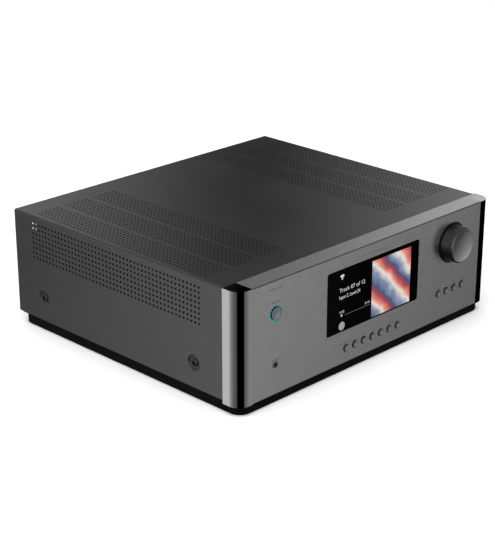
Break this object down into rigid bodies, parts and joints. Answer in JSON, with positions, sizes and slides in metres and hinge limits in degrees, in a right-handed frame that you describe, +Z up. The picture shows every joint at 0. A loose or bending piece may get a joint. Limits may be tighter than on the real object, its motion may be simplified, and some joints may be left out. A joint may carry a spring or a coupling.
{
  "type": "stereo receiver",
  "caption": "Full-width stereo receiver with a metal front panel, colour display, large volume knob, push buttons, rounded corner pillars and a perforated top cover.",
  "frame": {"origin": "centre of the bounding box's footprint, at floor level", "axes": "+Z up, -Y towards the front panel, +X to the right seen from the front"},
  "size_m": [0.431, 0.4234, 0.144],
  "materials": {
    "cover_paint": "satin, fine texture",
    "rear_paint": "satin",
    "sheet_steel": "zinc plated",
    "plinth_plastic": "matt",
    "panel_aluminium": "brushed, anodised gunmetal",
    "pillar_polish": "polished, anodised gunmetal",
    "display_glass": "gloss",
    "display_screen": "lit colour panel",
    "light_guide": "clear, lit from behind",
    "black_plastic": "moulded",
    "foot_rubber": "matt",
    "circuit_board": "solder mask",
    "fastener_steel": "plated",
    "transformer_core": "tape wrapped steel core and copper winding",
    "heatsink_anodised": "black anodised",
    "capacitor_sleeve": "sleeved",
    "gold_brass": "gold plated",
    "standoff_brass": "machined",
    "connector_steel": "nickel plated",
    "cable_grey": "ribbed",
    "knob_aluminium": "turned, anodised gunmetal",
    "button_aluminium": "turned, anodised gunmetal",
    "cap_red": "moulded",
    "cap_black": "moulded"
  },
  "bodies": {
    "chassis": {"top_cover": "cover_paint", "bottom_chassis": "sheet_steel", "base_plinth": "plinth_plastic", "rear_panel": "rear_paint", "front_subpanel": "sheet_steel", "front_panel": "panel_aluminium", "left_pillar": "pillar_polish", "right_pillar": "pillar_polish", "display_window": "display_glass", "display_panel": "display_screen", "display_bracket": "sheet_steel", "power_light_ring": "light_guide", "volume_light_ring": "light_guide", "headphone_jack": "black_plastic", "rubber_feet": "foot_rubber", "encoder_body": "black_plastic", "encoder_nut": "fastener_steel", "control_boards": "circuit_board", "tact_switches": "black_plastic", "side_screws": "fastener_steel", "rear_screws": "fastener_steel", "panel_screws": "fastener_steel", "foot_screws": "fastener_steel", "toroidal_transformer": "transformer_core", "transformer_pad": "foot_rubber", "transformer_clamp": "fastener_steel", "left_heatsink": "heatsink_anodised", "right_heatsink": "heatsink_anodised", "output_transistors": "black_plastic", "amplifier_boards": "circuit_board", "power_supply_board": "circuit_board", "reservoir_capacitors": "capacitor_sleeve", "main_board": "circuit_board", "network_module": "sheet_steel", "mains_inlet": "black_plastic", "terminal_posts": "gold_brass", "phono_sockets": "gold_brass", "phono_carrier": "black_plastic", "digital_sockets": "connector_steel", "ribbon_cable": "cable_grey", "board_standoffs": "standoff_brass"},
    "knob": {"volume_knob": "knob_aluminium", "encoder_shaft": "fastener_steel"},
    "power": {"power_button": "button_aluminium"},
    "menu_button_1": {"menu_button_1": "button_aluminium"},
    "menu_button_2": {"menu_button_2": "button_aluminium"},
    "menu_button_3": {"menu_button_3": "button_aluminium"},
    "menu_button_4": {"menu_button_4": "button_aluminium"},
    "menu_button_5": {"menu_button_5": "button_aluminium"},
    "menu_button_6": {"menu_button_6": "button_aluminium"},
    "menu_button_7": {"menu_button_7": "button_aluminium"},
    "source_button_1": {"source_button_1": "button_aluminium"},
    "source_button_2": {"source_button_2": "button_aluminium"},
    "source_button_3": {"source_button_3": "button_aluminium"},
    "source_button_4": {"source_button_4": "button_aluminium"},
    "terminal_cap_right_minus": {"terminal_cap_right_minus": "cap_black"},
    "terminal_cap_right_plus": {"terminal_cap_right_plus": "cap_red"},
    "terminal_cap_left_minus": {"terminal_cap_left_minus": "cap_black"},
    "terminal_cap_left_plus": {"terminal_cap_left_plus": "cap_red"}
  },
  "joints": [
    {"name": "volume_turn", "type": "hinge", "parent": "chassis", "child": "knob", "pos_m": [0.1415, -0.195, 0.1063], "axis": [0, 1, 0], "continuous": true},
    {"name": "power_press", "type": "slide", "parent": "chassis", "child": "power", "axis": [0, 1, 0], "range_m": [0, 0.0012]},
    {"name": "menu_press_1", "type": "slide", "parent": "chassis", "child": "menu_button_1", "axis": [0, 1, 0], "range_m": [0, 0.0008]},
    {"name": "menu_press_2", "type": "slide", "parent": "chassis", "child": "menu_button_2", "axis": [0, 1, 0], "range_m": [0, 0.0008]},
    {"name": "menu_press_3", "type": "slide", "parent": "chassis", "child": "menu_button_3", "axis": [0, 1, 0], "range_m": [0, 0.0008]},
    {"name": "menu_press_4", "type": "slide", "parent": "chassis", "child": "menu_button_4", "axis": [0, 1, 0], "range_m": [0, 0.0008]},
    {"name": "menu_press_5", "type": "slide", "parent": "chassis", "child": "menu_button_5", "axis": [0, 1, 0], "range_m": [0, 0.0008]},
    {"name": "menu_press_6", "type": "slide", "parent": "chassis", "child": "menu_button_6", "axis": [0, 1, 0], "range_m": [0, 0.0008]},
    {"name": "menu_press_7", "type": "slide", "parent": "chassis", "child": "menu_button_7", "axis": [0, 1, 0], "range_m": [0, 0.0008]},
    {"name": "source_press_1", "type": "slide", "parent": "chassis", "child": "source_button_1", "axis": [0, 1, 0], "range_m": [0, 0.0008]},
    {"name": "source_press_2", "type": "slide", "parent": "chassis", "child": "source_button_2", "axis": [0, 1, 0], "range_m": [0, 0.0008]},
    {"name": "source_press_3", "type": "slide", "parent": "chassis", "child": "source_button_3", "axis": [0, 1, 0], "range_m": [0, 0.0008]},
    {"name": "source_press_4", "type": "slide", "parent": "chassis", "child": "source_button_4", "axis": [0, 1, 0], "range_m": [0, 0.0008]},
    {"name": "terminal_turn_right_minus", "type": "hinge", "parent": "chassis", "child": "terminal_cap_right_minus", "pos_m": [-0.112, 0.2032, 0.04], "axis": [0, 1, 0], "range_deg": [0, 720]},
    {"name": "terminal_turn_right_plus", "type": "hinge", "parent": "chassis", "child": "terminal_cap_right_plus", "pos_m": [-0.084, 0.2032, 0.04], "axis": [0, 1, 0], "range_deg": [0, 720]},
    {"name": "terminal_turn_left_minus", "type": "hinge", "parent": "chassis", "child": "terminal_cap_left_minus", "pos_m": [0.132, 0.2032, 0.04], "axis": [0, 1, 0], "range_deg": [0, 720]},
    {"name": "terminal_turn_left_plus", "type": "hinge", "parent": "chassis", "child": "terminal_cap_left_plus", "pos_m": [0.16, 0.2032, 0.04], "axis": [0, 1, 0], "range_deg": [0, 720]}
  ]
}
